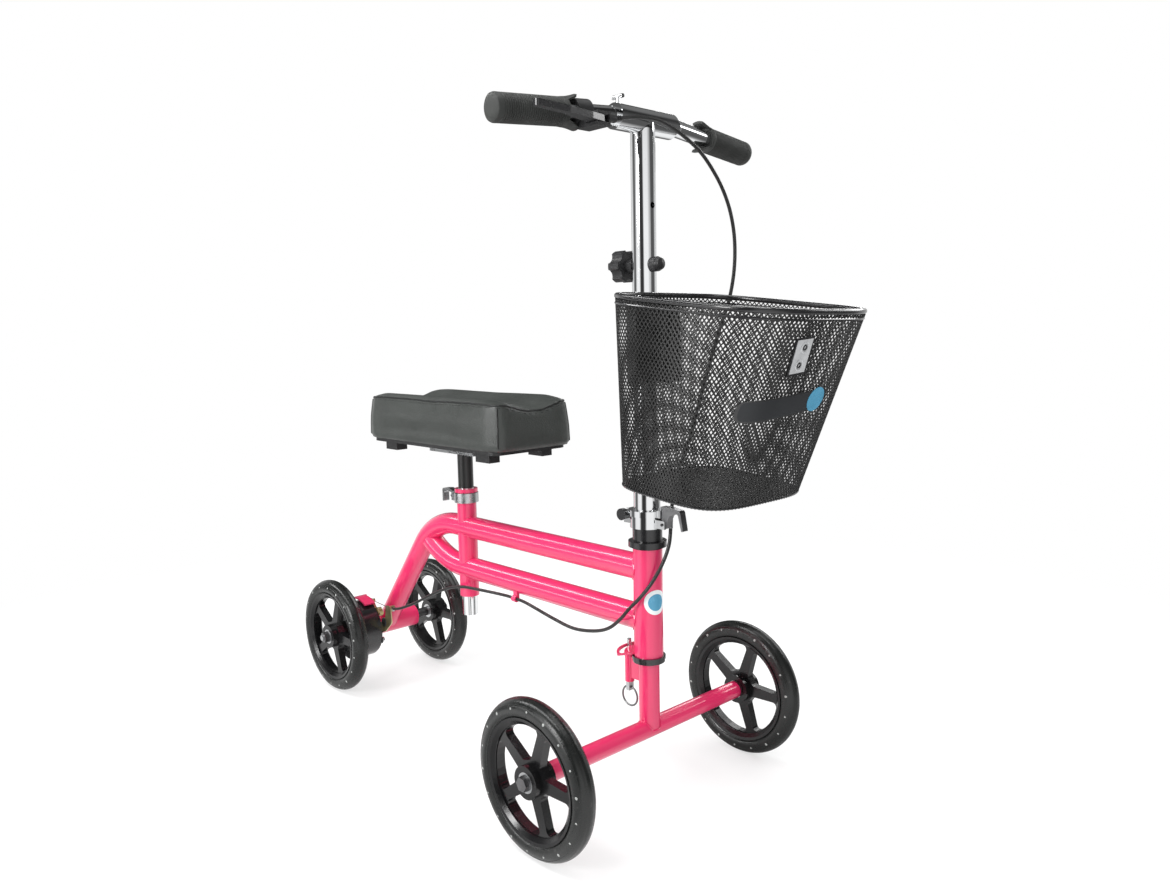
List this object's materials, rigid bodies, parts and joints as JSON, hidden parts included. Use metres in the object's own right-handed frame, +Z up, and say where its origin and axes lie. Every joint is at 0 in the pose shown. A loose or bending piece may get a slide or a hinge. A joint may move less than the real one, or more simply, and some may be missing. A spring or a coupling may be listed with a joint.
{
  "type": "knee scooter",
  "caption": "Steerable knee scooter with a padded knee rest, folding handlebar column, wire basket and rear drum brake.",
  "frame": {"origin": "on the floor, under the middle of the object's box", "axes": "+X forward, +Y to the rider's left, +Z up"},
  "size_m": [1.0665, 0.4662, 0.9344],
  "materials": {
    "pink_paint": "gloss",
    "black_paint": "gloss",
    "steel": "satin",
    "chrome": "polished",
    "zinc": "satin",
    "black_plastic": "satin",
    "grip_rubber": "matte",
    "tyre": "matte",
    "basket_wire": "satin",
    "plate": "satin",
    "pad": "satin"
  },
  "bodies": {
    "frame": {"head_tube": "pink_paint", "upper_main_tube": "pink_paint", "rear_slope_tube": "pink_paint", "lower_main_tube": "pink_paint", "seat_tube": "pink_paint", "rear_crossbar": "pink_paint", "steering_lock_plate": "pink_paint", "frame_brackets": "pink_paint", "headset_cups": "black_paint", "rear_axle": "steel", "rear_axle_hardware": "steel", "seat_collar": "chrome", "brake_back_plate": "black_paint", "brake_shoes": "steel", "brake_cable_anchor": "zinc", "brake_cable": "black_plastic"},
    "steering": {"front_steerer": "pink_paint", "front_crossbar": "pink_paint", "headset_races": "black_paint", "fold_hinge_base": "chrome", "fold_hinge_pin": "steel", "lock_pin_housing": "pink_paint", "front_axle_hardware": "steel", "lock_pin_spring": "steel"},
    "lock_pin": {"lock_pin": "steel"},
    "pull_ring": {"lock_pull_ring": "steel"},
    "fold_latch": {"fold_latch_lever": "chrome"},
    "column": {"fold_hinge_top": "chrome", "column_inner_post": "chrome"},
    "handlebar": {"handlebar_column": "chrome", "handlebar_sleeve": "chrome", "handlebar_tube": "chrome", "handlebar_grips": "grip_rubber", "brake_lever_clamp": "black_plastic", "star_knob_nut": "black_plastic", "basket_bracket": "black_paint"},
    "star_knob": {"star_knob": "black_plastic"},
    "brake_lever": {"brake_lever": "black_plastic"},
    "basket": {"basket_mesh": "basket_wire", "basket_rim": "basket_wire", "basket_plates": "plate"},
    "knee_rest": {"seat_post": "chrome", "knee_pad_mount": "steel", "knee_pad_board": "black_paint", "knee_pad": "pad"},
    "seat_lever": {"seat_release_lever": "chrome"},
    "brake_arm": {"brake_arm": "zinc"},
    "wheel_front_left": {"rim_front_left": "black_plastic", "tyre_front_left": "tyre", "bearings_front_left": "steel"},
    "wheel_front_right": {"rim_front_right": "black_plastic", "tyre_front_right": "tyre", "bearings_front_right": "steel"},
    "wheel_rear_left": {"rim_rear_left": "black_plastic", "tyre_rear_left": "tyre", "bearings_rear_left": "steel"},
    "wheel_rear_right": {"rim_rear_right": "black_plastic", "tyre_rear_right": "tyre", "bearings_rear_right": "steel", "brake_drum": "black_paint"}
  },
  "joints": [
    {"name": "steering", "type": "hinge", "parent": "frame", "child": "steering", "pos_m": [0.2534, 0, 0.28], "axis": [0, 0, 1], "range_deg": [-45, 45], "deforming": ["brake_cable"]},
    {"name": "lock_pin_pull", "type": "slide", "parent": "steering", "child": "lock_pin", "axis": [0, 0, -1], "range_m": [0, 0.014], "stiffness_N_per_m": 800, "springref_m": -0.005, "deforming": ["lock_pin_spring"]},
    {"name": "pull_ring_swing", "type": "hinge", "parent": "lock_pin", "child": "pull_ring", "pos_m": [0.2164, 0, 0.151], "axis": [1, 0, 0], "range_deg": [-35, 35]},
    {"name": "column_fold", "type": "hinge", "parent": "steering", "child": "column", "pos_m": [0.2254, 0, 0.4], "axis": [0, -1, 0], "range_deg": [0, 45], "deforming": ["brake_cable"]},
    {"name": "fold_latch_swing", "type": "hinge", "parent": "steering", "child": "fold_latch", "pos_m": [0.2874, 0, 0.392], "axis": [0, 1, 0], "range_deg": [0, 72], "deforming": ["brake_cable"]},
    {"name": "handlebar_height", "type": "slide", "parent": "column", "child": "handlebar", "axis": [0, 0, 1], "range_m": [-0.04, 0.1], "deforming": ["brake_cable"]},
    {"name": "star_knob_turn", "type": "hinge", "parent": "handlebar", "child": "star_knob", "pos_m": [0.2174, 0, 0.729], "axis": [1, 0, 0], "continuous": true},
    {"name": "brake_lever_pull", "type": "hinge", "parent": "handlebar", "child": "brake_lever", "pos_m": [0.2804, -0.106, 0.892], "axis": [0, 0, -1], "range_deg": [0, 18], "stiffness_Nm_per_rad": 0.8, "springref_deg": -5.73, "deforming": ["brake_cable"]},
    {"name": "brake_arm_turn", "type": "hinge", "parent": "frame", "child": "brake_arm", "pos_m": [-0.4076, -0.0375, 0.1275], "axis": [0, 1, 0], "range_deg": [0, 12], "deforming": ["brake_cable"]},
    {"name": "basket_lift", "type": "slide", "parent": "handlebar", "child": "basket", "axis": [0, 0, 1], "range_m": [0, 0.022], "deforming": ["brake_cable"]},
    {"name": "knee_rest_height", "type": "slide", "parent": "frame", "child": "knee_rest", "axis": [0, 0, -1], "range_m": [-0.04, 0.03]},
    {"name": "seat_lever_swing", "type": "hinge", "parent": "frame", "child": "seat_lever", "pos_m": [-0.1836, 0, 0.377], "axis": [0, 1, 0], "range_deg": [0, 60]},
    {"name": "front_left_spin", "type": "hinge", "parent": "steering", "child": "wheel_front_left", "pos_m": [0.2534, 0.2065, 0.1015], "axis": [0, 1, 0], "continuous": true},
    {"name": "front_right_spin", "type": "hinge", "parent": "steering", "child": "wheel_front_right", "pos_m": [0.2534, -0.2065, 0.1015], "axis": [0, 1, 0], "continuous": true},
    {"name": "rear_left_spin", "type": "hinge", "parent": "frame", "child": "wheel_rear_left", "pos_m": [-0.4316, 0.1075, 0.1015], "axis": [0, 1, 0], "continuous": true},
    {"name": "rear_right_spin", "type": "hinge", "parent": "frame", "child": "wheel_rear_right", "pos_m": [-0.4316, -0.1075, 0.1015], "axis": [0, 1, 0], "continuous": true}
  ],
  "couplings": [
    {"joint": "fold_latch_swing", "follows": "column_fold", "ratio": 1.6},
    {"joint": "brake_arm_turn", "follows": "brake_lever_pull", "ratio": 0.6667}
  ]
}
